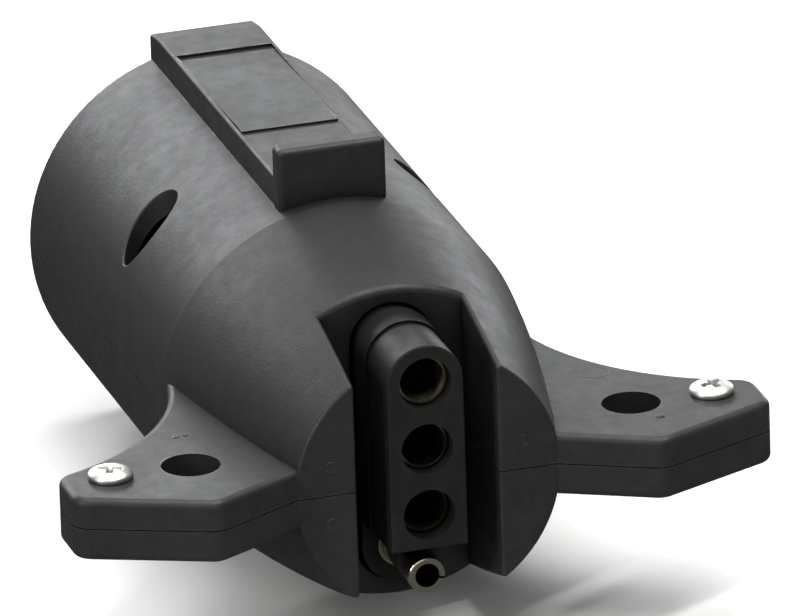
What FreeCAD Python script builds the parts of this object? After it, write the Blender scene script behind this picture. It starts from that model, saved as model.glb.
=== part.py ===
import FreeCAD, Part
import math
import os
import re
import Sketcher

# Trailer wiring adapter: a round seven-way plug at the back (+Y) and a four-way flat
# connector at the front (-Y), in a two-piece moulded body with two bolt-down ears.
# Millimetres. The origin is on the plug's axis at its open rim, +Z is the key side.

DIMENSIONS = [
    ("body_radius", 22.9, "outside of the round body"),
    ("wall", 2.35, "thickness of the round body's wall"),
    ("body_length", 92.0, "rim to the front face of the cheeks"),
    ("nose_length", 34.8, "tapered stretch behind the front face"),
    ("nose_tip", 16.4, "radius of the front face"),
    ("nose_bulge", 0.6, "how far the taper swells past a straight cone"),
    ("seam_half", 0.06, "half of the gap between the two shells"),
    ("rim_chamfer", 0.8, "inside edge of the open rim"),
    ("key_half", 6.6, "half width of the key bar"),
    ("key_top", 25.6, "height of the key bar"),
    ("key_root", 16.0, "where the key bar starts inside the body"),
    ("key_lead", 3.2, "length of the sloped lead-in at the rim"),
    ("key_drop", 0.5, "drop of that lead-in"),
    ("key_end", 52.5, "rim to the back of the lid lug"),
    ("panel_half", 6.05, "half width of the tilted panel in the key bar"),
    ("panel_back", 9.6, "rim to the panel"),
    ("panel_level", 26.0, "rim to where the panel is level with the key bar"),
    ("panel_front", 37.7, "rim to the far end of the panel"),
    ("panel_drop", 0.35, "how far the panel's back lies below the key bar"),
    ("lug_half", 6.75, "half width of the lid lug"),
    ("lug_top", 29.75, "height of the lid lug"),
    ("lug_thickness", 3.0, "lid lug along the axis"),
    ("window_radius", 3.3, "round windows beside the key bar"),
    ("window_offset", 17.1, "window centre from the middle plane"),
    ("window_back", 35.1, "rim to the window centre"),
    ("channel_half", 8.85, "half width of the slot between the cheeks"),
    ("channel_depth", 14.0, "front face to the bulkhead"),
    ("bulkhead", 2.4, "thickness of the bulkhead"),
    ("throat_radius", 18.5, "inside radius at the bulkhead"),
    ("ear_height", 3.75, "upper ear above the seam"),
    ("ear_depth", 4.1, "lower ear below the seam"),
    ("ear_sweep", 31.3, "radius of the ear's hollow back edge"),
    ("ear_start", 53.4, "rim to the start of the ear"),
    ("ear_bury", 0.8, "how far that edge starts inside the body"),
    ("ear_root", 12.0, "where the ear starts inside the body"),
    ("ear_tip", 43.3, "middle plane to the ear's end face"),
    ("ear_tip_front", 91.0, "rim to the ear's front corner"),
    ("ear_nose", 27.5, "middle plane to the ear's foremost corner"),
    ("ear_nose_front", 98.1, "rim to the ear's foremost corner"),
    ("ear_join", 15.6, "where the front edge meets the cheek"),
    ("ear_round", 2.6, "rounding of the ear's corners"),
    ("ear_edge", 0.9, "rounding of the ear's outer face"),
    ("bolt_radius", 3.57, "through hole in each ear"),
    ("bolt_offset", 27.35, "through hole from the middle plane"),
    ("bolt_front", 85.5, "rim to the through hole"),
    ("screw_offset", 37.35, "screw from the middle plane"),
    ("screw_front", 85.8, "rim to the screw"),
    ("screw_shank", 1.3, "radius of the screw's shank"),
    ("screw_clearance", 1.6, "screw hole in the upper ear"),
    ("screw_pilot", 1.4, "screw hole in the lower ear"),
    ("screw_reach", 3.3, "shank below the seam"),
    ("head_radius", 2.72, "screw head"),
    ("head_edge", 0.55, "straight side of the screw head"),
    ("head_height", 1.75, "screw head above the ear"),
    ("recess_long", 1.5, "half length of the cross recess"),
    ("recess_wide", 0.33, "half width of the cross recess"),
    ("recess_depth", 1.1, "depth of the cross recess"),
    ("carrier_radius", 20.2, "insulator that holds the blade contacts"),
    ("carrier_face", 2.5, "rim to the insulator's face"),
    ("carrier_back", 17.5, "rim to the insulator's back"),
    ("groove_back", 9.0, "rim to the insulator's groove"),
    ("groove_width", 2.4, "width of that groove"),
    ("groove_radius", 18.9, "bottom of that groove"),
    ("rib_play", 0.2, "play between a groove and its rib"),
    ("plate_thickness", 2.5, "cover behind the insulator"),
    ("plate_hole", 2.2, "wire holes in the cover"),
    ("rib_radius", 17.5, "ring that backs the cover"),
    ("rib_width", 2.0, "width of the ring"),
    ("clamp_radius", 15.0, "ring that backs the flat housing"),
    ("contact_circle", 12.4, "radius of the six outer contacts"),
    ("slot_half", 4.5, "half width of a blade slot"),
    ("slot_height", 3.4, "height of a blade slot"),
    ("contact_face", 4.0, "rim to a contact's mouth"),
    ("contact_half", 4.0, "half width of a contact"),
    ("contact_height", 3.0, "outside height of a contact"),
    ("contact_sheet", 0.6, "sheet thickness of a contact"),
    ("contact_depth", 12.5, "length of the forked part"),
    ("tail_half", 1.5, "half width of a contact's tail"),
    ("tail_length", 6.0, "length of a contact's tail"),
    ("crimp_radius", 1.7, "wire crimp"),
    ("crimp_length", 5.0, "length of a wire crimp"),
    ("way_pitch", 8.4, "spacing of the four flat ways"),
    ("flat_half", 4.75, "half width of the flat housing"),
    ("flat_bottom", 8.6, "axis to the bottom of the front block"),
    ("collar_half", 5.05, "half width of the flat housing's collar"),
    ("collar_front", 84.0, "rim to the collar"),
    ("step_front", 79.5, "rim to the full four-way section"),
    ("throat_half", 5.2, "half width of the bulkhead opening"),
    ("flange_half", 8.0, "half width of the retaining flange"),
    ("flange_reach", 15.0, "half height of the retaining flange"),
    ("flange_back", 72.9, "rim to the back of the flange"),
    ("socket_bore", 2.9, "hole round each socket sleeve"),
    ("mouth_bore", 3.2, "wider mouth of that hole"),
    ("mouth_depth", 3.5, "depth of the wider mouth"),
    ("neck_bore", 1.75, "hole for each crimp neck"),
    ("neck_front", 76.3, "rim to the neck holes"),
    ("sleeve_outer", 2.775, "outside of a socket sleeve"),
    ("sleeve_inner", 2.31, "inside of a socket sleeve"),
    ("sleeve_back", 77.5, "rim to the sleeve's closed end"),
    ("sleeve_slit", 2.0, "width of the sleeve's open seam"),
    ("neck_radius", 1.5, "neck behind a sleeve"),
    ("crimp_front", 71.5, "rim to the front of the flat crimps"),
    ("crimp_back", 67.0, "rim to the back of the flat crimps"),
    ("pin_radius", 2.285, "earth pin"),
    ("pin_inner", 1.5, "hollow of the earth pin"),
    ("pin_front", 90.3, "rim to the pin's end"),
    ("pin_hollow", 8.0, "depth of the hollow"),
    ("pin_slit", 0.3, "seam of the rolled pin"),
    ("pin_bore", 2.9, "hole for the pin's root"),
    ("seat_radius", 2.8, "thicker root of the pin, inside that hole"),
    ("wire_radius", 1.1, "insulated wire"),
    ("arch_edge", 0.9, "rounding of the body over the bulkhead"),
    ("cheek_edge", 0.4, "rounding of the cheeks"),
    ("rim_edge", 0.4, "rounding of the rim and the key bar"),
    ("lug_edge", 0.7, "rounding of the lid lug"),
    ("window_edge", 0.2, "rounding of the windows"),
    ("block_edge", 0.3, "rounding of the flat housing's front face"),
    ("pin_edge", 0.35, "rounding of the earth pin's end"),
    ("flare_length", 1.2, "flared mouth of a socket sleeve"),
    ("flare_inner", 2.75, "inside of that mouth"),
    ("flare_outer", 3.03, "outside of that mouth"),
    ("end_thickness", 1.0, "closed back end of a socket sleeve"),
    ("overcut", 1.0, "how far a cut runs past what it cuts"),
    ("ear_lap", 0.3, "how far the ear's front edge runs behind the cheek's face"),
    ("ear_root_front", 90.0, "rim to the front of the ear's hidden root"),
    ("ear_shoulder", 1.2, "gap from the nose to where the ear's rounded edge starts"),
    ("throat_ease", 0.6, "how far the hollow widens behind the clamp ring"),
    ("throat_step", 0.2, "how far it widens in front of that ring"),
    ("screw_play", 0.2, "pilot hole past the end of the screw"),
    ("screw_point", 1.0, "length of the screw's blunt point"),
    ("screw_turn", 20.0, "turn of the cross recess, in degrees"),
    ("pin_turn", 15.0, "turn of the pin's seam, in degrees"),
]

CONTACTS = [
    ("contact_battery", 30.0),
    ("contact_tail_lamps", 90.0),
    ("contact_brake", 150.0),
    ("contact_ground", 210.0),
    ("contact_right_turn", 270.0),
    ("contact_left_turn", 330.0),
]

# name, way number counted up from the seam, recess behind the front face, seam's direction
SOCKETS = [
    ("socket_right_turn", 1.5, 1.4, 135.0),
    ("socket_left_turn", 0.5, 1.9, 135.0),
    ("socket_tail_lamps", -0.5, 2.6, 120.0),
]

COVERED = (1.5, 0.5, -0.5)
BARE = (-1.5,)
BEND_SHARE = 0.45  # how much of a wire's shorter run each of its bends takes up
FUNCTIONS = ("sqrt", "sin", "cos")
UP = FreeCAD.Vector(0, 0, 1)

doc = FreeCAD.newDocument("trailer_wiring_connector")
dims = doc.addObject("Spreadsheet::Sheet", "dims")
for row, (alias, value, note) in enumerate(DIMENSIONS, start=1):
    dims.set(f"A{row}", note)
    dims.set(f"B{row}", str(value))
    dims.setAlias(f"B{row}", alias)
sums = doc.addObject("Spreadsheet::Sheet", "sums")
doc.recompute()

parts = []


def bound(text):
    """Point every dimension's name in an expression at the sheet."""
    def refer(match):
        word = match.group(0)
        return word if word in FUNCTIONS else "dims." + word
    return re.sub(r"[a-z][a-z_]*", refer, text)


def amount(text):
    """Work an expression out on a second sheet, which nothing is bound to."""
    sums.set("A1", "=" + bound(text))
    sums.recompute()
    return float(sums.get("A1"))


def new_body(name):
    body = doc.addObject("PartDesign::Body", name)
    body.Label = name
    parts.append(body)
    return body


def new_sketch(body, name, role, offset="0"):
    """Make a sketch on one of the body's own origin planes, offset along its normal."""
    sketch = body.newObject("Sketcher::SketchObject", name)
    plane = next(item for item in body.Origin.OriginFeatures if item.Role == role)
    sketch.AttachmentSupport = [(plane, "")]
    sketch.MapMode = "FlatFace"
    sketch.setExpression(".AttachmentOffset.Base.z", bound(offset))
    return sketch


def pin_down(sketch, kind, item, point, text):
    """Tie one coordinate of a sketch point to an expression."""
    number = sketch.addConstraint(Sketcher.Constraint(kind, -1, 1, item, point, amount(text)))
    sketch.setExpression(f"Constraints[{number}]", bound(text))


def arc_centre(start, end, arc):
    """Find where an arc's centre starts out, on the side that its turn asks for."""
    if "centre" in arc:
        return FreeCAD.Vector(*[amount(text) for text in arc["centre"]], 0)
    chord = end - start
    rise = math.sqrt(amount(arc["radius"]) ** 2 - (chord.Length / 2) ** 2)
    left = FreeCAD.Vector(-chord.y, chord.x, 0).normalize()
    return (start + end) / 2 + left * rise * arc["turn"]


def add_arc(sketch, start, end, arc):
    """Draw an arc; a clockwise one is stored from its end to its start."""
    centre = arc_centre(start, end, arc)
    first, last = (start, end) if arc["turn"] > 0 else (end, start)
    angles = [math.atan2(point.y - centre.y, point.x - centre.x) for point in (first, last)]
    if angles[1] <= angles[0]:
        angles[1] += 2 * math.pi
    circle = Part.Circle(centre, UP, (start - centre).Length)
    return sketch.addGeometry(Part.ArcOfCircle(circle, *angles), False)


def loop(sketch, corners, arcs=None):
    """Draw one closed outline; arcs tells which of its sides are round."""
    arcs = arcs or {}
    spots = [FreeCAD.Vector(amount(x), amount(y), 0) for x, y in corners]
    sides = []
    for number, start in enumerate(spots):
        end = spots[(number + 1) % len(spots)]
        if number in arcs:
            item = add_arc(sketch, start, end, arcs[number])
            sides.append((item, 1, 2) if arcs[number]["turn"] > 0 else (item, 2, 1))
        else:
            sides.append((sketch.addGeometry(Part.LineSegment(start, end), False), 1, 2))
    for number, (item, _, tail) in enumerate(sides):
        after, head, _ = sides[(number + 1) % len(sides)]
        sketch.addConstraint(Sketcher.Constraint("Coincident", item, tail, after, head))
    for number, (item, head, _) in enumerate(sides):
        x_text, y_text = corners[number]
        arc = arcs.get((number - 1) % len(corners), {})
        wanted = {"DistanceX": x_text, "DistanceY": y_text}
        if "centre" in arc:
            away = spots[number] - arc_centre(spots[number - 1], spots[number], arc)
            wanted.pop("DistanceX" if abs(away.x) > abs(away.y) else "DistanceY")
        for kind, text in wanted.items():
            pin_down(sketch, kind, item, head, text)
        own = arcs.get(number, {})
        if "centre" in own:
            pin_down(sketch, "DistanceX", item, 3, own["centre"][0])
            pin_down(sketch, "DistanceY", item, 3, own["centre"][1])
        if "radius" in own:
            text = own["radius"]
            tie = sketch.addConstraint(Sketcher.Constraint("Radius", item, amount(text)))
            sketch.setExpression(f"Constraints[{tie}]", bound(text))


def ring(sketch, x_text, y_text, radius):
    """Draw one circle."""
    centre = FreeCAD.Vector(amount(x_text), amount(y_text), 0)
    item = sketch.addGeometry(Part.Circle(centre, UP, amount(radius)), False)
    pin_down(sketch, "DistanceX", item, 3, x_text)
    pin_down(sketch, "DistanceY", item, 3, y_text)
    tie = sketch.addConstraint(Sketcher.Constraint("Radius", item, amount(radius)))
    sketch.setExpression(f"Constraints[{tie}]", bound(radius))


def box_corners(left, right, low, high):
    return [(left, low), (right, low), (right, high), (left, high)]


def stadium(sketch, radius, reach):
    """Draw an upright slot outline, round at both ends, centred on the axis."""
    corners = [(radius, "-" + reach), (radius, reach), ("-" + radius, reach),
               ("-" + radius, "-" + reach)]
    arcs = {1: {"centre": ("0", reach), "turn": 1}, 3: {"centre": ("0", "-" + reach), "turn": 1}}
    loop(sketch, corners, arcs)


def feature(body, kind, sketch, name, length=None, reverse=False, midplane=False):
    """Pad or pocket a sketch; with no length it runs right through. A cut has to cut."""
    before = body.Shape.Volume if body.Tip else 0
    made = body.newObject("PartDesign::" + kind, name)
    made.Profile = sketch
    made.Reversed = reverse
    made.Midplane = midplane
    if length is None:
        made.Type = "ThroughAll"
    else:
        made.setExpression("Length", bound(length))
    doc.recompute()
    change = body.Shape.Volume - before
    if (change < 0) != (kind == "Pocket") or abs(change) < 1e-6:
        raise RuntimeError(f"{body.Label} {name} changed the volume by {change}")
    return made


def turned(body, kind, sketch, name, angle=360.0, reverse=False):
    """Revolve or groove a sketch about its vertical axis."""
    made = body.newObject("PartDesign::" + kind, name)
    made.Profile = sketch
    made.ReferenceAxis = (sketch, ["V_Axis"])
    made.Angle = angle
    made.Reversed = reverse
    doc.recompute()
    return made


def dressed(body, kind, base, wanted, name, size):
    """Fillet or chamfer the edges of a feature that pass the test."""
    edges = [f"Edge{number}" for number, edge in enumerate(base.Shape.Edges, start=1)
             if wanted(edge)]
    made = body.newObject("PartDesign::" + kind, name)
    made.Base = (base, edges)
    made.setExpression("Radius" if kind == "Fillet" else "Size", bound(size))
    doc.recompute()
    return made


def middle(edge):
    return edge.valueAt((edge.FirstParameter + edge.LastParameter) / 2)


def nose_radius(distance):
    """Radius of the straight cone under the swollen nose, this far from the rim."""
    gone = max(0.0, distance - amount("body_length - nose_length")) / amount("nose_length")
    return amount("body_radius") - gone * amount("body_radius - nose_tip")


def ear_outline(sketch, side):
    """Draw one ear as seen from above: hollow back edge, square end, pointed front."""
    sign = "" if side > 0 else "-"
    inner = "(body_radius - ear_bury)"
    sweep_end = f"-(ear_start + sqrt(ear_sweep^2 - (ear_sweep + {inner} - ear_tip)^2))"
    corners = [
        (sign + "ear_root", "-ear_start"),
        (sign + inner, "-ear_start"),
        (sign + "ear_tip", sweep_end),
        (sign + "ear_tip", "-ear_tip_front"),
        (sign + "ear_nose", "-ear_nose_front"),
        (sign + "ear_join", "-(body_length - ear_lap)"),
        (sign + "ear_root", "-ear_root_front"),
    ]
    loop(sketch, corners, {1: {"radius": "ear_sweep", "turn": side}})


def body_profile(sketch):
    """Draw half of the solid body: a cylinder that runs into a slightly swollen cone."""
    chord = "(nose_length^2 + (body_radius - nose_tip)^2) / 4"
    corners = [
        ("0", "0"),
        ("body_radius", "0"),
        ("body_radius", "-(body_length - nose_length)"),
        ("nose_tip", "-body_length"),
        ("0", "-body_length"),
    ]
    swell = f"({chord} + nose_bulge^2) / (2 * nose_bulge)"
    loop(sketch, corners, {2: {"radius": swell, "turn": -1}})


def cavity_profile(sketch):
    """Draw half of the hollow, with the rings that hold the insulator and the housing."""
    inside = "(body_radius - wall)"
    rib = "(groove_radius + rib_play)"
    back = "(carrier_back + plate_thickness + rib_play)"
    clamp = "(flange_back - rib_play)"
    corners = [
        ("0", "0"),
        (f"{inside} + rim_chamfer", "0"),
        (inside, "-rim_chamfer"),
        (inside, "-(groove_back + rib_play)"),
        (rib, "-(groove_back + rib_play)"),
        (rib, "-(groove_back + groove_width - rib_play)"),
        (inside, "-(groove_back + groove_width - rib_play)"),
        (inside, f"-{back}"),
        ("rib_radius", f"-{back}"),
        ("rib_radius", f"-({back} + rib_width)"),
        (inside, f"-({back} + rib_width)"),
        (inside, "-(body_length - nose_length)"),
        ("throat_radius + throat_ease", f"-({clamp} - rib_width)"),
        ("clamp_radius", f"-({clamp} - rib_width)"),
        ("clamp_radius", f"-{clamp}"),
        ("throat_radius + throat_step", f"-{clamp}"),
        ("throat_radius", "-(body_length - channel_depth - bulkhead)"),
        ("0", "-(body_length - channel_depth - bulkhead)"),
    ]
    loop(sketch, corners)


def add_ears(body, height, lower):
    """Pad both ears and round their upright corners and their outer face."""
    sketch = new_sketch(body, "ear_outlines", "XY_Plane")
    for side in (1, -1):
        ear_outline(sketch, side)
    base = feature(body, "Pad", sketch, "ears", height, reverse=lower)
    nose, tip = amount("ear_nose"), amount("ear_tip")

    def corner(edge):
        spot = middle(edge)
        upright = abs(edge.tangentAt(edge.FirstParameter).z) > 0.99
        return upright and (abs(abs(spot.x) - nose) < 0.1 or abs(abs(spot.x) - tip) < 0.1)

    base = dressed(body, "Fillet", base, corner, "ear_corners", "ear_round")
    level, shoulder = amount(height), amount("ear_shoulder")

    def outer(edge):
        spot = middle(edge)
        flat = all(abs(abs(point.Z) - level) < 1e-4 for point in edge.Vertexes)
        return flat and abs(spot.x) > nose_radius(-spot.y) + shoulder

    dressed(body, "Fillet", base, outer, "ear_edges", "ear_edge")


def add_key(body):
    """Add the key bar with its tilted panel, and the lug that the socket's lid hooks over."""
    sketch = new_sketch(body, "key_side", "YZ_Plane")
    loop(sketch, [
        ("0", "key_root"),
        ("0", "key_top - key_drop"),
        ("-key_lead", "key_top"),
        ("-key_end", "key_top"),
        ("-key_end", "key_root"),
    ])
    feature(body, "Pad", sketch, "key_bar", "2 * key_half", midplane=True)
    sketch = new_sketch(body, "lug_side", "YZ_Plane")
    loop(sketch, box_corners("-(key_end + lug_thickness)", "-key_end", "key_root", "lug_top"))
    feature(body, "Pad", sketch, "lid_lug", "2 * lug_half", midplane=True)
    rise = "(panel_drop * (panel_front - panel_level) / (panel_level - panel_back))"
    sketch = new_sketch(body, "panel_recess_side", "YZ_Plane")
    loop(sketch, [("-panel_level", "key_top"), ("-panel_back", "key_top - panel_drop"),
                  ("-panel_back", "key_top + overcut"), ("-panel_level", "key_top + overcut")])
    feature(body, "Pocket", sketch, "panel_recess", "2 * panel_half", midplane=True)
    sketch = new_sketch(body, "panel_ramp_side", "YZ_Plane")
    loop(sketch, [("-panel_level", "key_top"), ("-panel_front", f"key_top + {rise}"),
                  ("-panel_front", "key_top - overcut"), ("-panel_level", "key_top - overcut")])
    feature(body, "Pad", sketch, "panel_ramp", "2 * panel_half", midplane=True)


def add_windows(body):
    sketch = new_sketch(body, "window_outlines", "XY_Plane")
    for side in ("", "-"):
        ring(sketch, side + "window_offset", "-window_back", "window_radius")
    feature(body, "Pocket", sketch, "windows", reverse=True)


def cut_front(body):
    """Open the slot between the cheeks and the throat that the flat housing fills."""
    sketch = new_sketch(body, "channel_outline", "XY_Plane")
    loop(sketch, box_corners("-channel_half", "channel_half", "-(ear_nose_front + overcut)",
                             "-(body_length - channel_depth)"))
    feature(body, "Pocket", sketch, "channel", midplane=True)
    sketch = new_sketch(body, "throat_outline", "XZ_Plane",
                        "body_length - channel_depth + overcut")
    stadium(sketch, "throat_half", "(1.5 * way_pitch)")
    feature(body, "Pocket", sketch, "throat", "bulkhead + 2 * overcut")


def cut_holes(body, lower):
    """Drill the bolt holes, and the screw holes that stop short of the lower ear's face."""
    sketch = new_sketch(body, "bolt_outlines", "XY_Plane")
    for side in ("", "-"):
        ring(sketch, side + "bolt_offset", "-bolt_front", "bolt_radius")
    feature(body, "Pocket", sketch, "bolt_holes", midplane=True)
    sketch = new_sketch(body, "screw_outlines", "XY_Plane")
    radius = "screw_pilot" if lower else "screw_clearance"
    for side in ("", "-"):
        ring(sketch, side + "screw_offset", "-screw_front", radius)
    depth = "screw_reach + screw_play" if lower else None
    feature(body, "Pocket", sketch, "screw_holes", depth, reverse=not lower)


def trim_seam(body, lower):
    """Take half of the seam's gap off the joint face."""
    sketch = new_sketch(body, "seam_outline", "XY_Plane")
    loop(sketch, box_corners("-(ear_tip + overcut)", "ear_tip + overcut",
                             "-(ear_nose_front + overcut)", "overcut"))
    feature(body, "Pocket", sketch, "seam", "seam_half", reverse=not lower)


def soften_shell(body, lower):
    """Round the edges that the hand and the mating parts meet."""
    channel, front = amount("channel_half"), amount("body_length")
    arch_front, outside = amount("body_length - channel_depth"), amount("body_radius")

    def arch(edge):
        spot = middle(edge)
        return (abs(spot.y + arch_front) < 0.05 and abs(spot.x) < 0.3
                and abs(spot.z) > amount("throat_radius"))

    def cheek(edge):
        spot = middle(edge)
        on_wall = abs(abs(spot.x) - channel) < 0.05
        ridge = on_wall and spot.y < -arch_front - 1 and abs(spot.z) > 12
        face = abs(spot.y + front) < 0.02 and abs(spot.z) > 2
        return ridge or (face and (on_wall or isinstance(edge.Curve, Part.Circle)))

    def rim(edge):
        spot = middle(edge)
        return (abs(spot.y) < 0.02 and abs(math.hypot(spot.x, spot.z) - outside) < 0.05
                and abs(spot.z) > 1)

    def key(edge):
        spot = middle(edge)
        return (-amount("key_end") < spot.y <= 0.05 and spot.z > amount("key_top - 0.6")
                and abs(spot.x) > amount("key_half - 0.1"))

    def lug(edge):
        spot = middle(edge)
        return (abs(spot.y + amount("key_end + lug_thickness / 2"))
                < amount("lug_thickness / 2 + 0.1") and spot.z > amount("key_top"))

    def window(edge):
        spot = middle(edge)
        away = math.hypot(abs(spot.x) - amount("window_offset"), spot.y + amount("window_back"))
        return (abs(away - amount("window_radius")) < 0.05 and edge.Length > 1
                and math.hypot(spot.x, spot.z) > outside - 0.4)

    dressed(body, "Fillet", body.Tip, arch, "arch_round", "arch_edge")
    dressed(body, "Fillet", body.Tip, cheek, "cheek_rounds", "cheek_edge")
    dressed(body, "Fillet", body.Tip, rim, "rim_round", "rim_edge")
    if not lower:
        dressed(body, "Fillet", body.Tip, key, "key_rounds", "rim_edge")
        dressed(body, "Fillet", body.Tip, lug, "lug_rounds", "lug_edge")
        dressed(body, "Fillet", body.Tip, window, "window_rounds", "window_edge")


def shell(name, lower):
    """Build one half of the body."""
    body = new_body(name)
    sketch = new_sketch(body, "profile", "XY_Plane")
    body_profile(sketch)
    turned(body, "Revolution", sketch, "solid_body", 180.0, reverse=not lower)
    add_ears(body, "ear_depth" if lower else "ear_height", lower)
    if not lower:
        add_key(body)
    sketch = new_sketch(body, "hollow_profile", "XY_Plane")
    cavity_profile(sketch)
    turned(body, "Groove", sketch, "hollow")
    if not lower:
        add_windows(body)
    cut_front(body)
    cut_holes(body, lower)
    trim_seam(body, lower)
    soften_shell(body, lower)


def screw(name, side):
    """Build a pan-head screw with a cross recess; its head rests on the upper ear."""
    body = new_body(name)
    sketch = new_sketch(body, "profile", "XZ_Plane")
    dome = "((head_radius^2 + (head_height - head_edge)^2) / (2 * (head_height - head_edge)))"
    loop(sketch, [
        ("0", "-(screw_reach + ear_height)"),
        ("screw_shank", "-(screw_reach + ear_height - screw_point)"),
        ("screw_shank", "0"),
        ("head_radius", "0"),
        ("head_radius", "head_edge"),
        ("0", "head_height"),
    ], {4: {"radius": dome, "turn": 1}})
    turned(body, "Revolution", sketch, "head_and_shank")
    sketch = new_sketch(body, "cross", "XY_Plane", "head_height + overcut")
    long, wide = "recess_long", "recess_wide"
    loop(sketch, [
        (long, "-" + wide), (long, wide), (wide, wide), (wide, long),
        ("-" + wide, long), ("-" + wide, wide), ("-" + long, wide), ("-" + long, "-" + wide),
        ("-" + wide, "-" + wide), ("-" + wide, "-" + long), (wide, "-" + long),
        (wide, "-" + wide),
    ])
    feature(body, "Pocket", sketch, "recess", "recess_depth + overcut")
    spot = (side * amount("screw_offset"), -amount("screw_front"), amount("ear_height"))
    body.Placement = FreeCAD.Placement(FreeCAD.Vector(*spot),
                                       FreeCAD.Rotation(UP, side * amount("screw_turn")))


def contact_spots():
    """List each blade contact's place on the face and its turn about the axis."""
    circle = amount("contact_circle")
    spots = [("contact_reverse_lamps", 0.0, 0.0, 0.0)]
    for name, clock in CONTACTS:
        angle = math.radians(clock)
        spots.append((name, circle * math.sin(angle), circle * math.cos(angle), clock))
    return spots


def patterned(body, base, name):
    """Repeat a feature six times round the plug's axis."""
    made = body.newObject("PartDesign::PolarPattern", name)
    made.Originals = [base]
    axis = next(item for item in body.Origin.OriginFeatures if item.Role == "Y_Axis")
    made.Axis = (axis, [""])
    made.Angle = 360.0
    made.Occurrences = len(CONTACTS)
    body.Tip = made
    doc.recompute()


def contact_carrier():
    """Build the insulator: a thick disc with six blade slots round a middle one."""
    body = new_body("contact_carrier")
    sketch = new_sketch(body, "face", "XZ_Plane", "carrier_face")
    ring(sketch, "0", "0", "carrier_radius")
    feature(body, "Pad", sketch, "disc", "carrier_back - carrier_face")
    sketch = new_sketch(body, "groove_section", "XY_Plane")
    loop(sketch, box_corners("groove_radius", "carrier_radius + overcut",
                             "-(groove_back + groove_width)", "-groove_back"))
    turned(body, "Groove", sketch, "groove")
    sketch = new_sketch(body, "middle_slot", "XZ_Plane", "carrier_back + overcut")
    high = "(slot_height / 2)"
    loop(sketch, box_corners("-slot_half", "slot_half", "-" + high, high))
    feature(body, "Pocket", sketch, "middle", "carrier_back")
    sketch = new_sketch(body, "outer_slot", "XZ_Plane", "carrier_back + overcut")
    turn = CONTACTS[0][1]
    corners = [(f"{x} * cos({turn}) + {z} * sin({turn})", f"{z} * cos({turn}) - {x} * sin({turn})")
               for x, z in box_corners("(-slot_half)", "slot_half",
                                       f"(contact_circle - {high})", f"(contact_circle + {high})")]
    loop(sketch, corners)
    slot = feature(body, "Pocket", sketch, "outer", "carrier_back")
    patterned(body, slot, "outer_slots")


def carrier_back_plate():
    """Build the cover behind the insulator, with a wire hole behind each contact."""
    body = new_body("carrier_back_plate")
    sketch = new_sketch(body, "face", "XZ_Plane", "carrier_back")
    ring(sketch, "0", "0", "carrier_radius")
    ring(sketch, "0", "0", "plate_hole")
    feature(body, "Pad", sketch, "disc", "plate_thickness")
    sketch = new_sketch(body, "wire_hole", "XZ_Plane", "carrier_back + plate_thickness + overcut")
    turn = CONTACTS[0][1]
    ring(sketch, f"contact_circle * sin({turn})", f"contact_circle * cos({turn})", "plate_hole")
    hole = feature(body, "Pocket", sketch, "hole", "plate_thickness + 2 * overcut")
    patterned(body, hole, "wire_holes")


def blade_contact(name, x, z, turn):
    """Build a forked blade contact: a folded sheet, a flat tail and a wire crimp."""
    body = new_body(name)
    sketch = new_sketch(body, "fork_side", "YZ_Plane")
    high = "(contact_height / 2)"
    gap = "(contact_height / 2 - contact_sheet)"
    loop(sketch, [
        ("0", high), ("-contact_depth", high), ("-contact_depth", "-" + high), ("0", "-" + high),
        ("0", "-" + gap), ("-(contact_depth - contact_sheet)", "-" + gap),
        ("-(contact_depth - contact_sheet)", gap), ("0", gap),
    ])
    feature(body, "Pad", sketch, "fork", "2 * contact_half", midplane=True)
    sketch = new_sketch(body, "tail_section", "XZ_Plane", "contact_depth")
    thick = "(contact_sheet / 2)"
    loop(sketch, box_corners("-tail_half", "tail_half", "-" + thick, thick))
    feature(body, "Pad", sketch, "tail", "tail_length")
    sketch = new_sketch(body, "crimp_section", "XZ_Plane", "contact_depth + tail_length")
    ring(sketch, "0", "0", "crimp_radius")
    feature(body, "Pad", sketch, "crimp", "crimp_length")
    body.Placement = FreeCAD.Placement(FreeCAD.Vector(x, -amount("contact_face"), z),
                                       FreeCAD.Rotation(FreeCAD.Vector(0, 1, 0), turn))


def drill(body, name, start, radius, length, ways):
    """Drill the same hole at each of the named ways, inwards from a plane."""
    sketch = new_sketch(body, name + "_outlines", "XZ_Plane", start)
    for way in ways:
        ring(sketch, "0", f"{way} * way_pitch", radius)
    feature(body, "Pocket", sketch, name, length)


def flat_housing():
    """Build the front block of the flat connector, which covers three of its ways."""
    body = new_body("flat_connector_housing")
    top = "(1.5 * way_pitch)"
    for name, depth, half in (("front_block", "body_length", "flat_half"),
                              ("collar", "collar_front", "collar_half")):
        sketch = new_sketch(body, name + "_section", "XZ_Plane", depth)
        corners = [("-" + half, "-flat_bottom"), (half, "-flat_bottom"), (half, top),
                   ("-" + half, top)]
        loop(sketch, corners, {2: {"centre": ("0", top), "turn": 1}})
        feature(body, "Pad", sketch, name, f"{depth} - step_front", reverse=True)
    drill(body, "mouth", "body_length + overcut", "mouth_bore", "mouth_depth + overcut", COVERED)
    drill(body, "socket", "body_length", "socket_bore", None, COVERED)
    front, widest = amount("body_length"), amount("mouth_bore")

    def front_edge(edge):
        ring_edge = isinstance(edge.Curve, Part.Circle) and edge.Curve.Radius < widest + 0.1
        return abs(middle(edge).y + front) < 0.02 and not ring_edge

    dressed(body, "Fillet", body.Tip, front_edge, "block_rounds", "block_edge")


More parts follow.
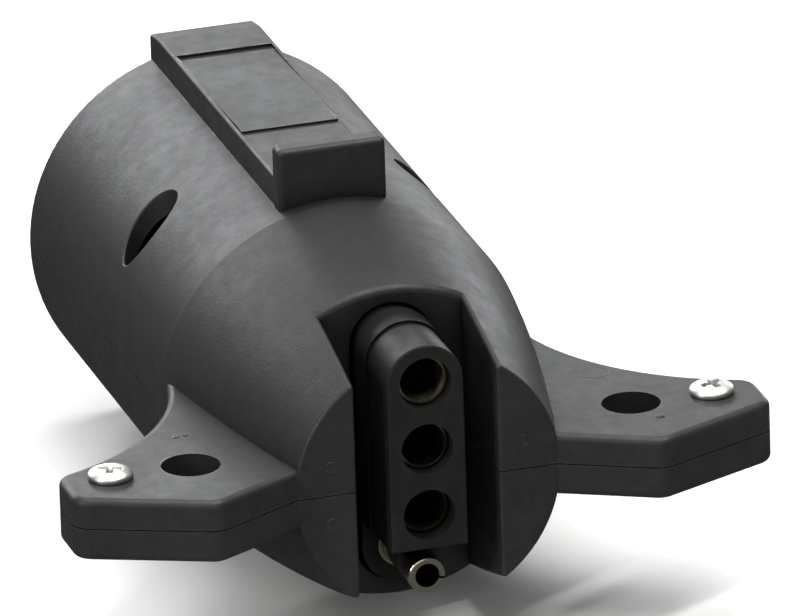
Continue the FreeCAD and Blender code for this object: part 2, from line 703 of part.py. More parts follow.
def flat_base():
    """Build the base behind it, with all four ways and the flange that holds it."""
    body = new_body("flat_connector_base")
    sketch = new_sketch(body, "full_section", "XZ_Plane", "step_front")
    stadium(sketch, "flat_half", "(1.5 * way_pitch)")
    feature(body, "Pad", sketch, "full_block", "step_front - flange_back", reverse=True)
    sketch = new_sketch(body, "flange_section", "XZ_Plane", "flange_back")
    loop(sketch, box_corners("-flange_half", "flange_half", "-flange_reach", "flange_reach"))
    feature(body, "Pad", sketch, "flange", "body_length - channel_depth - bulkhead"
            " - flange_back - rib_play")
    depth = "step_front + overcut - neck_front"
    drill(body, "socket", "step_front + overcut", "socket_bore", depth, COVERED)
    drill(body, "pin_hole", "step_front + overcut", "pin_bore", depth, BARE)
    drill(body, "neck", "step_front", "neck_bore", None, COVERED + BARE)


def tail_of(body, start):
    """Add the neck and the wire crimp behind a flat contact."""
    for name, front, back, radius in (("neck", start, "crimp_front", "neck_radius"),
                                      ("crimp", "crimp_front", "crimp_back", "crimp_radius")):
        sketch = new_sketch(body, name + "_section", "XZ_Plane", front)
        ring(sketch, "0", "0", radius)
        feature(body, "Pad", sketch, name, f"{front} - {back}", reverse=True)


def socket_sleeve(name, way, recess, seam):
    """Build a rolled socket: an open-seamed tube with a flared mouth and a closed back."""
    body = new_body(name)
    front = f"(body_length - {recess})"
    sketch = new_sketch(body, "tube_profile", "XY_Plane")
    loop(sketch, [
        ("sleeve_inner", "-sleeve_back"),
        ("sleeve_inner", f"-({front} - flare_length)"),
        ("flare_inner", "-" + front),
        ("flare_outer", "-" + front),
        ("sleeve_outer", f"-({front} - flare_length)"),
        ("sleeve_outer", "-sleeve_back"),
    ])
    turned(body, "Revolution", sketch, "tube")
    sketch = new_sketch(body, "seam_section", "XZ_Plane", front)
    loop(sketch, box_corners("-(sleeve_slit / 2)", "sleeve_slit / 2", "sleeve_inner / 2",
                             "flare_outer + overcut"))
    feature(body, "Pocket", sketch, "seam", f"{front} - sleeve_back")
    sketch = new_sketch(body, "end_section", "XZ_Plane", "sleeve_back")
    ring(sketch, "0", "0", "sleeve_outer")
    feature(body, "Pad", sketch, "closed_end", "end_thickness", reverse=True)
    tail_of(body, "(sleeve_back - end_thickness)")
    body.Placement = FreeCAD.Placement(FreeCAD.Vector(0, 0, way * amount("way_pitch")),
                                       FreeCAD.Rotation(FreeCAD.Vector(0, -1, 0), seam - 90))


def ground_pin():
    """Build the bare earth pin: rolled, hollow and rounded at its end."""
    body = new_body("ground_pin")
    sketch = new_sketch(body, "pin_section", "XZ_Plane", "pin_front")
    ring(sketch, "0", "0", "pin_radius")
    shaft = feature(body, "Pad", sketch, "shaft", "pin_front - neck_front - rib_play",
                    reverse=True)
    tip = amount("pin_front")
    dressed(body, "Fillet", shaft, lambda edge: abs(middle(edge).y + tip) < 0.02, "pin_round",
            "pin_edge")
    sketch = new_sketch(body, "seat_section", "XZ_Plane", "step_front")
    ring(sketch, "0", "0", "seat_radius")
    feature(body, "Pad", sketch, "seat", "step_front - neck_front - rib_play", reverse=True)
    tail_of(body, "(neck_front + rib_play)")
    sketch = new_sketch(body, "hollow_section", "XZ_Plane", "pin_front")
    ring(sketch, "0", "0", "pin_inner")
    feature(body, "Pocket", sketch, "hollow", "pin_hollow")
    sketch = new_sketch(body, "seam_section", "XZ_Plane", "pin_front")
    loop(sketch, box_corners("pin_inner / 2", "pin_radius + overcut", "-(pin_slit / 2)",
                             "pin_slit / 2"))
    feature(body, "Pocket", sketch, "seam", "pin_hollow")
    body.Placement = FreeCAD.Placement(FreeCAD.Vector(0, 0, -1.5 * amount("way_pitch")),
                                       FreeCAD.Rotation(FreeCAD.Vector(0, 1, 0), amount("pin_turn")))


def wire_path(points):
    """Join straight runs by tangent arcs, each as large as its two runs allow."""
    edges = []
    here = points[0]
    radii = []
    for before, corner, after in zip(points, points[1:], points[2:]):
        come, leave = (corner - before), (after - corner)
        short = min(come.Length, leave.Length)
        come.normalize()
        leave.normalize()
        turn = come.getAngle(leave)
        cut = BEND_SHARE * short
        radii.append(cut / math.tan(turn / 2))
        start, end = corner - come * cut, corner + leave * cut
        inward = (leave - come).normalize()
        top = corner + inward * (radii[-1] / math.cos(turn / 2) - radii[-1])
        edges.append(Part.LineSegment(here, start).toShape())
        edges.append(Part.Arc(start, top, end).toShape())
        here = end
    edges.append(Part.LineSegment(here, points[-1]).toShape())
    return Part.Wire(edges), radii


def wire(name, contact, way, bends):
    """Run one insulated wire from a blade contact's crimp to a flat contact's crimp."""
    _, x, z, _ = next(spot for spot in contact_spots() if spot[0] == contact)
    back = amount("contact_face + contact_depth + tail_length + crimp_length")
    front = amount("crimp_back")
    end_z = way * amount("way_pitch")
    first, last = (back + share * (front - back) for share in bends)
    points = [FreeCAD.Vector(x, -back, z), FreeCAD.Vector(x, -first, z),
              FreeCAD.Vector(0, -last, end_z), FreeCAD.Vector(0, -front, end_z)]
    path, radii = wire_path(points)
    section = Part.Wire(Part.Circle(points[0], FreeCAD.Vector(0, 1, 0), amount("wire_radius"))
                        .toShape())
    item = doc.addObject("Part::Feature", name)
    item.Label = name
    item.Shape = path.makePipeShell([section], True, False)
    item.Placement = FreeCAD.Placement()
    ideal = math.pi * amount("wire_radius") ** 2 * path.Length
    print(f"{name}: arc radii {[round(r, 1) for r in radii]}, "
          f"volume {item.Shape.Volume:.1f} of {ideal:.1f}")
    parts.append(item)


def build():
    shell("upper_shell", False)
    shell("lower_shell", True)
    screw("screw_left", -1)
    screw("screw_right", 1)
    contact_carrier()
    carrier_back_plate()
    for spot in contact_spots():
        blade_contact(*spot)
    flat_housing()
    flat_base()
    for socket in SOCKETS:
        socket_sleeve(*socket)
    ground_pin()
    wire("wire_ground", "contact_ground", -1.5, (0.3, 0.7))
    wire("wire_tail_lamps", "contact_tail_lamps", -0.5, (0.28, 0.72))
    wire("wire_left_turn", "contact_left_turn", 0.5, (0.2, 0.55))
    wire("wire_right_turn", "contact_right_turn", 1.5, (0.32, 0.72))


def write():
    """Check every object and every sub-part, then write the sub-parts."""
    doc.removeObject(sums.Name)
    doc.recompute()
    for item in doc.Objects:
        if "Invalid" in item.State or "Error" in item.State:
            raise RuntimeError(f"{item.Label} is {item.State}")
    for item in parts:
        if item.Shape.isNull() or not item.Shape.isValid() or len(item.Shape.Solids) != 1:
            raise RuntimeError(f"{item.Label} has no single valid solid")
    os.makedirs("parts", exist_ok=True)
    for item in parts:
        item.Shape.exportStep(f"parts/{item.Label}.step")
        box = item.Shape.BoundBox
        print(f"{item.Label}: {item.Shape.Volume:.0f} mm3, "
              f"x {box.XMin:.1f} {box.XMax:.1f} y {box.YMin:.1f} {box.YMax:.1f} "
              f"z {box.ZMin:.1f} {box.ZMax:.1f}")


build()
write()
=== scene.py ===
import math
import bmesh
import bpy
from mathutils import Matrix, Vector


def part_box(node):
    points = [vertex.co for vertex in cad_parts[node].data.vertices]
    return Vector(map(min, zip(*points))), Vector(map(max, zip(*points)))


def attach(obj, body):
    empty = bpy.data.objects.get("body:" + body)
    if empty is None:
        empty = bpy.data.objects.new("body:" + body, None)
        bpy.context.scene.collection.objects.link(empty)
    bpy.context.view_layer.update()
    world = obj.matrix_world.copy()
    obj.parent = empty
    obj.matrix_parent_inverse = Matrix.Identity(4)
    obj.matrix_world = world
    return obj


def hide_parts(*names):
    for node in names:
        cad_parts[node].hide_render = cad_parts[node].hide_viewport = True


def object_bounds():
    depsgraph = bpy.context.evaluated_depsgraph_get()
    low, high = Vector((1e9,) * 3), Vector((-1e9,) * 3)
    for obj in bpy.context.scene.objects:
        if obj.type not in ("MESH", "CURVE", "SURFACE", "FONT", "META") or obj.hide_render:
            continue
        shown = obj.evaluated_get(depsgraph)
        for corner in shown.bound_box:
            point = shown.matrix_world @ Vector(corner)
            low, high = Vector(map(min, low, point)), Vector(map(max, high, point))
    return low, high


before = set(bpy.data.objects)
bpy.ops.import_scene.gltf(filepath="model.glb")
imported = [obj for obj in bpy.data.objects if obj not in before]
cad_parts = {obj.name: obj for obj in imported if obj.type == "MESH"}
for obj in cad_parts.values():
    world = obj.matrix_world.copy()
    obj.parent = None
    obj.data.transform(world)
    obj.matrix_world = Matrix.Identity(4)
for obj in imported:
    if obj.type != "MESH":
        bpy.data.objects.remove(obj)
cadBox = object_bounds()
mm = 0.001
print("frame loaded:", len(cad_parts), "nodes")


# shader groups, each built once and placed in the materials with its own values

def startGroup(name, inputs, outputs):
    tree = bpy.data.node_groups.new(name, "ShaderNodeTree")
    for label, kind, start in inputs:
        socket = tree.interface.new_socket(label, in_out="INPUT", socket_type=kind)
        if start is not None:
            socket.default_value = start
    for label, kind in outputs:
        tree.interface.new_socket(label, in_out="OUTPUT", socket_type=kind)
    return tree, tree.nodes.new("NodeGroupInput"), tree.nodes.new("NodeGroupOutput")


def addNode(tree, kind, links=None, **settings):
    # settings that name an input go to its default value, the rest to the node itself
    node = tree.nodes.new(kind)
    for key, value in settings.items():
        if hasattr(node, key):
            setattr(node, key, value)
        else:
            node.inputs[key.replace("_", " ")].default_value = value
    for key, source in (links or {}).items():
        tree.links.new(source, node.inputs[key])
    return node


def mathNode(tree, operation, first, second=None, clamp=False):
    node = addNode(tree, "ShaderNodeMath", operation=operation, use_clamp=clamp)
    for number, value in enumerate((first, second)):
        if value is None:
            continue
        if isinstance(value, (int, float)):
            node.inputs[number].default_value = value
        else:
            tree.links.new(value, node.inputs[number])
    return node.outputs[0]


def makeEdgeWear():
    # how far the surface turns within a small radius, so only real edges show
    tree, given, out = startGroup(
        "edgeWear",
        [("Radius", "NodeSocketFloat", 0.0004), ("Contrast", "NodeSocketFloat", 3.0),
         ("Breakup", "NodeSocketFloat", 600.0)],
        [("Mask", "NodeSocketFloat")])
    rounded = addNode(tree, "ShaderNodeBevel", {"Radius": given.outputs["Radius"]}, samples=4)
    flat = addNode(tree, "ShaderNodeNewGeometry")
    turn = addNode(tree, "ShaderNodeVectorMath", operation="DOT_PRODUCT")
    tree.links.new(rounded.outputs["Normal"], turn.inputs[0])
    tree.links.new(flat.outputs["Normal"], turn.inputs[1])
    bend = mathNode(tree, "SUBTRACT", 1.0, turn.outputs["Value"], clamp=True)
    bend = mathNode(tree, "MULTIPLY", bend, given.outputs["Contrast"], clamp=True)
    place = addNode(tree, "ShaderNodeTexCoord")
    patchy = addNode(tree, "ShaderNodeTexNoise", {"Vector": place.outputs["Object"],
                     "Scale": given.outputs["Breakup"]}, Detail=3.0, Roughness=0.6)
    spots = addNode(tree, "ShaderNodeMapRange", {"Value": patchy.outputs["Fac"]},
                    From_Min=0.42, From_Max=0.62)
    tree.links.new(mathNode(tree, "MULTIPLY", bend, spots.outputs["Result"]), out.inputs["Mask"])
    return tree


def makeMouldGrain():
    # spark-eroded tool texture, with broad sink and flow over it
    tree, given, out = startGroup(
        "mouldGrain",
        [("Grain Scale", "NodeSocketFloat", 3500.0), ("Grain Height", "NodeSocketFloat", 0.00002),
         ("Sink Height", "NodeSocketFloat", 0.0001)],
        [("Normal", "NodeSocketVector"), ("Cloud", "NodeSocketFloat"),
         ("Mottle", "NodeSocketFloat")])
    place = addNode(tree, "ShaderNodeTexCoord")
    grain = addNode(tree, "ShaderNodeTexNoise", {"Vector": place.outputs["Object"],
                    "Scale": given.outputs["Grain Scale"]}, Detail=2.0, Roughness=0.55)
    flow = addNode(tree, "ShaderNodeTexNoise", {"Vector": place.outputs["Object"]},
                   Scale=70.0, Detail=4.0, Roughness=0.55, Distortion=0.4)
    sink = addNode(tree, "ShaderNodeTexNoise", {"Vector": place.outputs["Object"]},
                   Scale=120.0, Detail=1.0)
    mottle = addNode(tree, "ShaderNodeTexNoise", {"Vector": place.outputs["Object"]},
                     Scale=520.0, Detail=3.0, Roughness=0.6)
    broad = addNode(tree, "ShaderNodeBump", {"Height": sink.outputs["Fac"],
                    "Distance": given.outputs["Sink Height"]}, Strength=1.0)
    fine = addNode(tree, "ShaderNodeBump", {"Height": grain.outputs["Fac"],
                   "Distance": given.outputs["Grain Height"], "Normal": broad.outputs["Normal"]},
                   Strength=1.0)
    tree.links.new(fine.outputs["Normal"], out.inputs["Normal"])
    tree.links.new(flow.outputs["Fac"], out.inputs["Cloud"])
    tree.links.new(mottle.outputs["Fac"], out.inputs["Mottle"])
    return tree


def makeScuffs():
    # short fine scratches in two directions
    tree, given, out = startGroup(
        "scuffs", [("Scale", "NodeSocketFloat", 500.0), ("Amount", "NodeSocketFloat", 0.5)],
        [("Mask", "NodeSocketFloat")])
    place = addNode(tree, "ShaderNodeTexCoord")
    total = None
    for turn, stretch in ((0.5, (1.0, 14.0, 14.0)), (-0.9, (12.0, 1.0, 12.0))):
        lay = addNode(tree, "ShaderNodeMapping", {"Vector": place.outputs["Object"]})
        lay.inputs["Rotation"].default_value = (turn, turn * 0.6, turn)
        lay.inputs["Scale"].default_value = stretch
        lines = addNode(tree, "ShaderNodeTexNoise", {"Vector": lay.outputs["Vector"],
                        "Scale": given.outputs["Scale"]}, Detail=2.0)
        thin = addNode(tree, "ShaderNodeMapRange", {"Value": lines.outputs["Fac"]},
                       From_Min=0.66, From_Max=0.72)
        total = thin.outputs["Result"] if total is None else mathNode(
            tree, "MAXIMUM", total, thin.outputs["Result"])
    tree.links.new(mathNode(tree, "MULTIPLY", total, given.outputs["Amount"]), out.inputs["Mask"])
    return tree


def makeHollowShade():
    # painted shade that gathers inside small bores, recesses and creases; on the metals it partly
    # stands for oxide
    tree, given, out = startGroup(
        "hollowShade", [("Reach", "NodeSocketFloat", 0.004), ("Low", "NodeSocketFloat", 0.3),
                        ("High", "NodeSocketFloat", 0.8)],
        [("Mask", "NodeSocketFloat")])
    openSky = addNode(tree, "ShaderNodeAmbientOcclusion", {"Distance": given.outputs["Reach"]},
                      samples=8)
    shut = addNode(tree, "ShaderNodeMapRange", {"Value": openSky.outputs["AO"],
                   "From Min": given.outputs["Low"], "From Max": given.outputs["High"]},
                   To_Min=1.0, To_Max=0.0)
    tree.links.new(shut.outputs["Result"], out.inputs["Mask"])
    return tree


groups = {"hollowShade": makeHollowShade(), "edgeWear": makeEdgeWear(),
          "mouldGrain": makeMouldGrain(), "scuffs": makeScuffs()}
print("shader groups built")


def startMaterial(name):
    material = bpy.data.materials.new(name)
    material.use_nodes = True
    tree = material.node_tree
    return material, tree, tree.nodes["Principled BSDF"]


def placeGroup(tree, name, **values):
    node = tree.nodes.new("ShaderNodeGroup")
    node.node_tree = groups[name]
    for key, value in values.items():
        node.inputs[key.replace("_", " ")].default_value = value
    return node


def mixColour(tree, mask, first, second):
    node = addNode(tree, "ShaderNodeMix", data_type="RGBA", blend_type="MIX")
    tree.links.new(mask, node.inputs["Factor"])
    for socket, value in ((node.inputs[6], first), (node.inputs[7], second)):
        if isinstance(value, tuple):
            socket.default_value = (*value, 1.0)
        else:
            tree.links.new(value, socket)
    return node.outputs[2]


def spread(tree, value, low, high, fromLow=0.0, fromHigh=1.0):
    node = addNode(tree, "ShaderNodeMapRange", {"Value": value}, From_Min=fromLow,
                   From_Max=fromHigh, To_Min=low, To_Max=high)
    return node.outputs["Result"]


# in each plastic, the darkest colour is painted shade that fills its creases
plastics = {
    "bodyPlastic": {"dark": (0.0125, 0.0122, 0.0120), "light": (0.020, 0.0202, 0.0208),
                    "worn": (0.035, 0.035, 0.035), "paintedCreaseShade": (0.004, 0.004, 0.004),
                    "roughLow": 0.44, "roughHigh": 0.54, "polish": 0.26,
                    "grainScale": 3200.0, "grainHeight": 0.00003, "sinkHeight": 0.00005,
                    "edge": 0.0004, "wear": 9.0, "scuffs": 0.12, "specular": 0.40},
    "housingPlastic": {"dark": (0.009, 0.0088, 0.0086), "light": (0.014, 0.0138, 0.0136),
                       "worn": (0.02, 0.02, 0.02), "paintedCreaseShade": (0.003, 0.003, 0.003),
                       "roughLow": 0.42, "roughHigh": 0.52, "polish": 0.15,
                       "grainScale": 4200.0, "grainHeight": 0.000012, "sinkHeight": 0.00006,
                       "edge": 0.00025, "wear": 4.0, "scuffs": 0.1, "specular": 0.14},
    "insulatorPlastic": {"dark": (0.013, 0.013, 0.014), "light": (0.024, 0.024, 0.026),
                         "worn": (0.03, 0.03, 0.03), "paintedCreaseShade": (0.004, 0.004, 0.004),
                         "roughLow": 0.34, "roughHigh": 0.48, "polish": 0.15,
                         "grainScale": 3800.0, "grainHeight": 0.000018, "sinkHeight": 0.00008,
                         "edge": 0.0003, "wear": 1.5, "scuffs": 0.2, "specular": 0.35},
}


# shading that all the plastics share: painted shade darkening the creases, scratch size, shares of
# the two mottles
plasticShade = {"creaseReach": 0.0035, "creaseLow": 0.55, "creaseHigh": 0.95,
                "scuffScale": 420.0, "cloudShare": 0.45, "mottleShare": 0.55}


def plasticMaterial(name, look):
    material, tree, shader = startMaterial(name)
    grain = placeGroup(tree, "mouldGrain", Grain_Scale=look["grainScale"],
                       Grain_Height=look["grainHeight"], Sink_Height=look["sinkHeight"])
    wear = placeGroup(tree, "edgeWear", Radius=look["edge"], Contrast=look["wear"])
    crease = placeGroup(tree, "hollowShade", Reach=plasticShade["creaseReach"],
                        Low=plasticShade["creaseLow"], High=plasticShade["creaseHigh"])
    marks = placeGroup(tree, "scuffs", Scale=plasticShade["scuffScale"], Amount=look["scuffs"])
    cloud = spread(tree, grain.outputs["Cloud"], 0.0, 1.0, 0.35, 0.65)
    mottle = spread(tree, grain.outputs["Mottle"], 0.0, 1.0, 0.36, 0.64)
    blend = mathNode(tree, "ADD", mathNode(tree, "MULTIPLY", cloud, plasticShade["cloudShare"]),
                     mathNode(tree, "MULTIPLY", mottle, plasticShade["mottleShare"]), clamp=True)
    colour = mixColour(tree, blend, look["dark"], look["light"])
    colour = mixColour(tree, marks.outputs["Mask"], colour, look["worn"])
    colour = mixColour(tree, wear.outputs["Mask"], colour, look["worn"])
    # painted shade: creases and hollows are darkened in the colour wherever ambient occlusion closes
    # in
    colour = mixColour(tree, crease.outputs["Mask"], colour, look["paintedCreaseShade"])
    rough = spread(tree, blend, look["roughHigh"], look["roughLow"])
    rough = mathNode(tree, "SUBTRACT", rough,
                     mathNode(tree, "MULTIPLY", wear.outputs["Mask"], look["polish"]), clamp=True)
    tree.links.new(colour, shader.inputs["Base Color"])
    tree.links.new(rough, shader.inputs["Roughness"])
    tree.links.new(grain.outputs["Normal"], shader.inputs["Normal"])
    shader.inputs["Specular IOR Level"].default_value = look["specular"]
    return material


metals = {
    "zincPlate": {"main": (0.93, 0.92, 0.90), "other": (0.84, 0.83, 0.80), "roughLow": 0.30,
                  "roughHigh": 0.45, "grainScale": 2600.0, "grainHeight": 0.000006},
    "contactBrass": {"main": (0.78, 0.60, 0.30), "other": (0.60, 0.43, 0.19), "roughLow": 0.22,
                     "roughHigh": 0.42, "grainScale": 2200.0, "grainHeight": 0.000006},
    "platedBrass": {"main": (0.86, 0.83, 0.74), "other": (0.82, 0.74, 0.50), "roughLow": 0.14,
                    "roughHigh": 0.30, "grainScale": 2400.0, "grainHeight": 0.000006},
}


# shading that all the metals share; the hollow darkening is painted shade inside bores and recesses,
# partly standing for oxide
metalShade = {"sinkHeight": 0.00002, "scuffScale": 900.0, "scuffAmount": 0.35, "scuffRough": 0.2,
              "hollowReach": 0.0045, "hollowLow": 0.35, "hollowHigh": 0.75,
              "tarnishAndShade": (0.035, 0.028, 0.018)}


def metalMaterial(name, look):
    material, tree, shader = startMaterial(name)
    grain = placeGroup(tree, "mouldGrain", Grain_Scale=look["grainScale"],
                       Grain_Height=look["grainHeight"], Sink_Height=metalShade["sinkHeight"])
    marks = placeGroup(tree, "scuffs", Scale=metalShade["scuffScale"],
                       Amount=metalShade["scuffAmount"])
    cloud = spread(tree, grain.outputs["Cloud"], 0.0, 1.0, 0.38, 0.62)
    colour = mixColour(tree, cloud, look["main"], look["other"])
    hollow = placeGroup(tree, "hollowShade", Reach=metalShade["hollowReach"],
                        Low=metalShade["hollowLow"], High=metalShade["hollowHigh"])
    # painted shade: the inside of sleeves, bores and the screws' cross recess darkens to
    # brown-black, partly standing for oxide
    colour = mixColour(tree, hollow.outputs["Mask"], colour, metalShade["tarnishAndShade"])
    rough = spread(tree, cloud, look["roughLow"], look["roughHigh"])
    scratched = mathNode(tree, "MULTIPLY", marks.outputs["Mask"], metalShade["scuffRough"])
    rough = mathNode(tree, "ADD", rough, scratched, clamp=True)
    tree.links.new(colour, shader.inputs["Base Color"])
    tree.links.new(rough, shader.inputs["Roughness"])
    tree.links.new(grain.outputs["Normal"], shader.inputs["Normal"])
    shader.inputs["Metallic"].default_value = 1.0
    return material


insulations = {
    "whiteInsulation": ((0.74, 0.74, 0.71), (0.60, 0.60, 0.56)),
    "brownInsulation": ((0.16, 0.07, 0.03), (0.10, 0.045, 0.02)),
    "yellowInsulation": ((0.80, 0.60, 0.04), (0.62, 0.44, 0.03)),
    "greenInsulation": ((0.03, 0.26, 0.07), (0.02, 0.17, 0.05)),
}


def insulationMaterial(name, colours):
    material, tree, shader = startMaterial(name)
    grain = placeGroup(tree, "mouldGrain", Grain_Scale=1800.0, Grain_Height=0.00001,
                       Sink_Height=0.00005)
    cloud = spread(tree, grain.outputs["Cloud"], 0.0, 1.0, 0.35, 0.65)
    tree.links.new(mixColour(tree, cloud, *colours), shader.inputs["Base Color"])
    tree.links.new(spread(tree, cloud, 0.32, 0.46), shader.inputs["Roughness"])
    tree.links.new(grain.outputs["Normal"], shader.inputs["Normal"])
    return material


finishes = {name: plasticMaterial(name, look) for name, look in plastics.items()}
finishes.update({name: metalMaterial(name, look) for name, look in metals.items()})
finishes.update({name: insulationMaterial(name, pair) for name, pair in insulations.items()})
print("materials built:", len(finishes))


# CAD nodes that keep their own shape
keptNodes = {
    "upper_shell": "bodyPlastic", "lower_shell": "bodyPlastic",
    "flat_connector_housing": "housingPlastic", "flat_connector_base": "housingPlastic",
    "contact_carrier": "insulatorPlastic",
    "carrier_back_plate": "insulatorPlastic",
    "socket_right_turn": "platedBrass", "socket_left_turn": "platedBrass",
    "socket_tail_lamps": "platedBrass", "ground_pin": "platedBrass",
    "wire_ground": "whiteInsulation", "wire_tail_lamps": "brownInsulation",
    "wire_left_turn": "yellowInsulation", "wire_right_turn": "greenInsulation",
}
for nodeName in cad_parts:
    if nodeName.startswith("contact_") and nodeName != "contact_carrier":
        keptNodes[nodeName] = "contactBrass"
for nodeName, finish in keptNodes.items():
    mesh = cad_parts[nodeName].data
    mesh.materials.clear()
    mesh.materials.append(finishes[finish])


def meshObject(name, bm, material):
    mesh = bpy.data.meshes.new(name)
    bm.to_mesh(mesh)
    bm.free()
    mesh.materials.append(material)
    piece = bpy.data.objects.new(name, mesh)
    bpy.context.scene.collection.objects.link(piece)
    return piece


def bakeModifiers(piece):
    # swaps the mesh for its finished shape and drops the modifiers
    graph = bpy.context.evaluated_depsgraph_get()
    finished = bpy.data.meshes.new_from_object(piece.evaluated_get(graph))
    piece.modifiers.clear()
    piece.data = finished


# pan-head screws, with a cross recess that narrows as it goes down
panScrew = {"headRadius": 2.70, "edgeHeight": 0.42, "crown": 1.27, "crownRings": 8,
            "shank": 1.28, "reach": 6.6, "steps": 64, "turn": 20.0,
            "armLong": 1.55, "armWide": 0.47, "footLong": 0.90, "footWide": 0.24,
            "recessDepth": 0.95, "softEdge": 0.05, "seat": 3.75, "rimEase": 0.06,
            "crownPower": 0.8, "cutAbove": 0.4, "cutFlare": 0.45}


def screwBlank(look):
    bm = bmesh.new()
    outline = [(0.0, -look["reach"]), (look["shank"], -look["reach"]), (look["shank"], 0.0),
               (look["headRadius"] - look["rimEase"], 0.0), (look["headRadius"], look["rimEase"])]
    rise = look["crown"] - look["edgeHeight"]
    for ringNumber in range(look["crownRings"]):
        angle = math.pi / 2 * ringNumber / look["crownRings"]
        outline.append((look["headRadius"] * math.cos(angle) ** look["crownPower"],
                        look["edgeHeight"] + rise * math.sin(angle)))
    outline.append((0.0, look["crown"]))
    verts = [bm.verts.new((x * mm, 0.0, z * mm)) for x, z in outline]
    edges = [bm.edges.new(pair) for pair in zip(verts, verts[1:])]
    bmesh.ops.spin(bm, geom=verts + edges, cent=(0, 0, 0), axis=(0, 0, 1), angle=2 * math.pi,
                   steps=look["steps"], use_merge=True)
    bmesh.ops.remove_doubles(bm, verts=bm.verts, dist=0.004 * mm)
    bmesh.ops.recalc_face_normals(bm, faces=bm.faces)
    return bm


def recessArm(look, turn):
    # one bar of the cross, cut from a cube and narrowed at its foot
    bm = bmesh.new()
    bmesh.ops.create_cube(bm, size=1.0)
    top, foot = look["crown"] + look["cutAbove"], look["crown"] - look["recessDepth"]
    flare = 1.0 + look["cutAbove"] / look["recessDepth"] * look["cutFlare"]
    for vert in bm.verts:
        upper = vert.co.z > 0
        reachX = look["armLong"] * flare if upper else look["footLong"]
        reachY = look["armWide"] * flare if upper else look["footWide"]
        vert.co = Vector((math.copysign(reachX, vert.co.x), math.copysign(reachY, vert.co.y),
                          top if upper else foot)) * mm
    bmesh.ops.rotate(bm, verts=bm.verts, cent=(0, 0, 0), matrix=Matrix.Rotation(turn, 3, "Z"))
    return bm


def addPanScrew(name, node, side):
    head = meshObject(name, screwBlank(panScrew), finishes["zincPlate"])
    bars = [meshObject("recessBar", recessArm(panScrew, turn), finishes["zincPlate"])
            for turn in (0.0, math.pi / 2)]
    for bar in bars:
        cut = head.modifiers.new("crossRecess", "BOOLEAN")
        cut.operation, cut.solver, cut.object = "DIFFERENCE", "EXACT", bar
    soft = head.modifiers.new("softEdge", "BEVEL")
    soft.width, soft.segments, soft.limit_method = panScrew["softEdge"] * mm, 2, "ANGLE"
    soft.angle_limit = math.radians(40)
    bakeModifiers(head)
    for bar in bars:
        bpy.data.objects.remove(bar)
    low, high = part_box(node)
    spot = Vector(((low.x + high.x) / 2, (low.y + high.y) / 2, panScrew["seat"] * mm))
    head.data.transform(Matrix.Translation(spot)
                        @ Matrix.Rotation(math.radians(side * panScrew["turn"]), 4, "Z"))
    for face in head.data.polygons:
        face.use_smooth = True
    head.data.set_sharp_from_angle(angle=math.radians(35))
    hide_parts(node)
    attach(head, "root")


addPanScrew("panScrewLeft", "screw_left", -1)
addPanScrew("panScrewRight", "screw_right", 1)
print("screws built")


# small marks that the mould leaves, as rings and pips that stand just proud
earTop, cheekFace = 3.75, -92.0
mouldMarks = {
    "ejectorRingRight": {"centre": (26.2, -74.8, earTop), "radius": 1.7, "bead": 0.07},
    "ejectorPipLeft": {"centre": (-26.6, -76.4, earTop), "radius": 0.22, "bead": 0.2},
    "ejectorPipInner": {"centre": (-25.4, -76.2, earTop), "radius": 0.22, "bead": 0.2},
    "ejectorPipRight": {"centre": (29.3, -90.9, earTop), "radius": 0.28, "bead": 0.26},
}
for label, x, z in (("TopLeft", -12.0, 3.6), ("TopRight", 12.0, 3.6),
                    ("LowLeft", -12.0, -3.6), ("LowRight", 12.0, -3.6)):
    mouldMarks["cavityRing" + label] = {"centre": (x, cheekFace, z), "radius": 0.62,
                                        "bead": 0.09, "upright": True}
beadFlatness = 0.45


def addMouldMark(name, mark):
    # a flattened round bead, spun round the mark's centre and half sunk in the surface
    bm = bmesh.new()
    bead, radius = mark["bead"] * mm, mark["radius"] * mm
    bmesh.ops.create_circle(bm, segments=10, radius=bead)
    bmesh.ops.rotate(bm, verts=bm.verts, cent=(0, 0, 0), matrix=Matrix.Rotation(math.pi / 2, 3, "X"))
    bmesh.ops.scale(bm, vec=(1.0, 1.0, beadFlatness), verts=bm.verts)
    bmesh.ops.translate(bm, verts=bm.verts, vec=(radius, 0, 0))
    bmesh.ops.spin(bm, geom=bm.edges[:], cent=(0, 0, 0), axis=(0, 0, 1), angle=2 * math.pi,
                   steps=48, use_merge=True)
    bmesh.ops.recalc_face_normals(bm, faces=bm.faces)
    if mark.get("upright"):
        bmesh.ops.rotate(bm, verts=bm.verts, cent=(0, 0, 0),
                         matrix=Matrix.Rotation(math.pi / 2, 3, "X"))
    bmesh.ops.translate(bm, verts=bm.verts, vec=Vector(mark["centre"]) * mm)
    for face in bm.faces:
        face.smooth = True
    piece = meshObject(name, bm, finishes["bodyPlastic"])
    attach(piece, "root")


for name, mark in mouldMarks.items():
    addMouldMark(name, mark)
print("mould marks:", len(mouldMarks))

view = {"azimuth": -16.3, "elevation": 21.57, "roll": -1.83, "distance": 2.35634,
        "lens": 889.9, "sensor": 36.0, "target": (0.00279, -0.07279, 0.01471)}


def addCamera(look):
    a, e, r = (math.radians(look[key]) for key in ("azimuth", "elevation", "roll"))
    back = Vector((math.sin(a) * math.cos(e), -math.cos(a) * math.cos(e), math.sin(e)))
    level = Vector((math.cos(a), math.sin(a), 0.0))
    above = back.cross(level)
    right = level * math.cos(r) + above * math.sin(r)
    up = above * math.cos(r) - level * math.sin(r)
    data = bpy.data.cameras.new("viewCamera")
    data.lens = look["lens"]
    data.sensor_width = look["sensor"]
    data.clip_end = 50.0
    camera = bpy.data.objects.new("viewCamera", data)
    bpy.context.scene.collection.objects.link(camera)
    turn = Matrix((right, up, back)).transposed().to_4x4()
    camera.matrix_world = Matrix.Translation(Vector(look["target"]) + back * look["distance"]) @ turn
    bpy.context.scene.camera = camera


floorGap, floorHalf = 0.2 * mm, 12.0


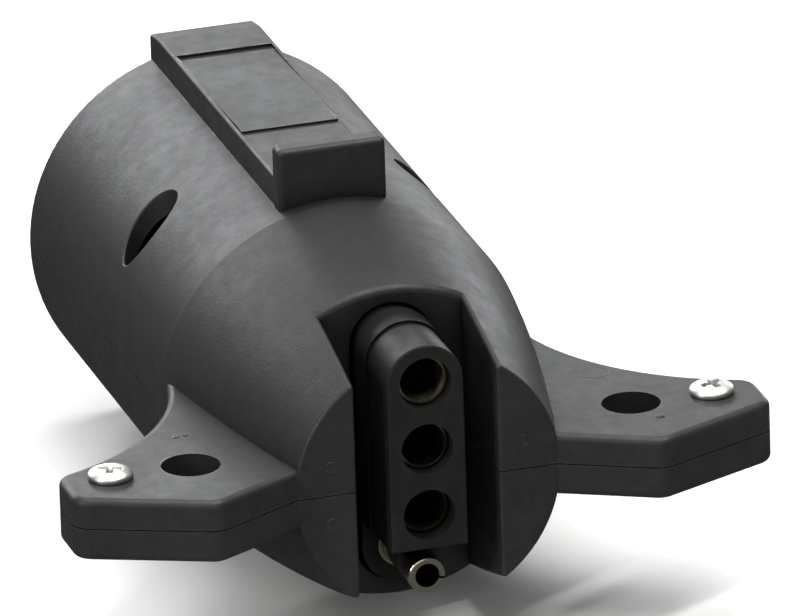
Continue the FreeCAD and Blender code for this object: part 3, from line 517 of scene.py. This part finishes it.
def addFloor(level):
    bm = bmesh.new()
    bmesh.ops.create_grid(bm, x_segments=1, y_segments=1, size=floorHalf)
    bmesh.ops.translate(bm, verts=bm.verts, vec=(0, 0, level))
    mesh = bpy.data.meshes.new("floor")
    bm.to_mesh(mesh)
    bm.free()
    material, tree, shader = startMaterial("floorPaper")
    shader.inputs["Base Color"].default_value = (0.82, 0.82, 0.82, 1.0)
    shader.inputs["Roughness"].default_value = 0.9
    mesh.materials.append(material)
    floor = bpy.data.objects.new("floor", mesh)
    bpy.context.scene.collection.objects.link(floor)
    floor.visible_glossy = False  # keeps the paper's glare off the flanks


def addSoftbox(name, place, aim, size, power, colour):
    data = bpy.data.lights.new(name, "AREA")
    data.shape = "RECTANGLE"
    data.size, data.size_y = size
    data.energy = power
    data.color = colour
    light = bpy.data.objects.new(name, data)
    bpy.context.scene.collection.objects.link(light)
    light.location = place
    light.visible_camera = False
    light.rotation_mode = "QUATERNION"
    light.rotation_quaternion = (Vector(aim) - Vector(place)).to_track_quat("-Z", "Y")


softboxes = {
    "backSoftbox": {"place": (-0.22, 1.25, 0.53), "aim": (0, -0.03, 0), "size": (1.3, 0.30),
                    "power": 13.5, "colour": (0.95, 0.975, 1.0)},
    "rimSoftbox": {"place": (0.85, 1.05, 0.22), "aim": (0, -0.03, 0), "size": (0.5, 0.3),
                   "power": 3.4, "colour": (0.95, 0.975, 1.0)},
    "overheadSoftbox": {"place": (-0.05, 0.05, 1.0), "aim": (0, -0.03, 0), "size": (1.3, 0.6),
                        "power": 11.0, "colour": (1.0, 1.0, 1.0)},
    "edgeStrip": {"place": (0.22, -0.42, 0.95), "aim": (0, -0.06, 0), "size": (0.9, 0.05),
                  "power": 8.0, "colour": (1.0, 0.98, 0.95)},
    "sideStrip": {"place": (-0.95, -0.45, 0.42), "aim": (0, -0.06, 0), "size": (0.06, 0.5),
                  "power": 5.0, "colour": (1.0, 0.98, 0.95)},
    "frontFill": {"place": (-0.25, -1.25, 0.45), "aim": (0, -0.06, 0), "size": (0.9, 0.7),
                  "power": 1.9, "colour": (1.0, 0.92, 0.84)},
}
addCamera(view)
addFloor(cadBox[0].z - floorGap)
for name, box in softboxes.items():
    addSoftbox(name, box["place"], box["aim"], box["size"], box["power"], box["colour"])
world = bpy.data.worlds.new("studio")
world.use_nodes = True
world.node_tree.nodes["Background"].inputs["Color"].default_value = (1.0, 1.0, 1.0, 1.0)
world.node_tree.nodes["Background"].inputs["Strength"].default_value = 0.08
bpy.context.scene.world = world
bpy.context.scene.view_settings.view_transform = "Standard"
print("stage set")
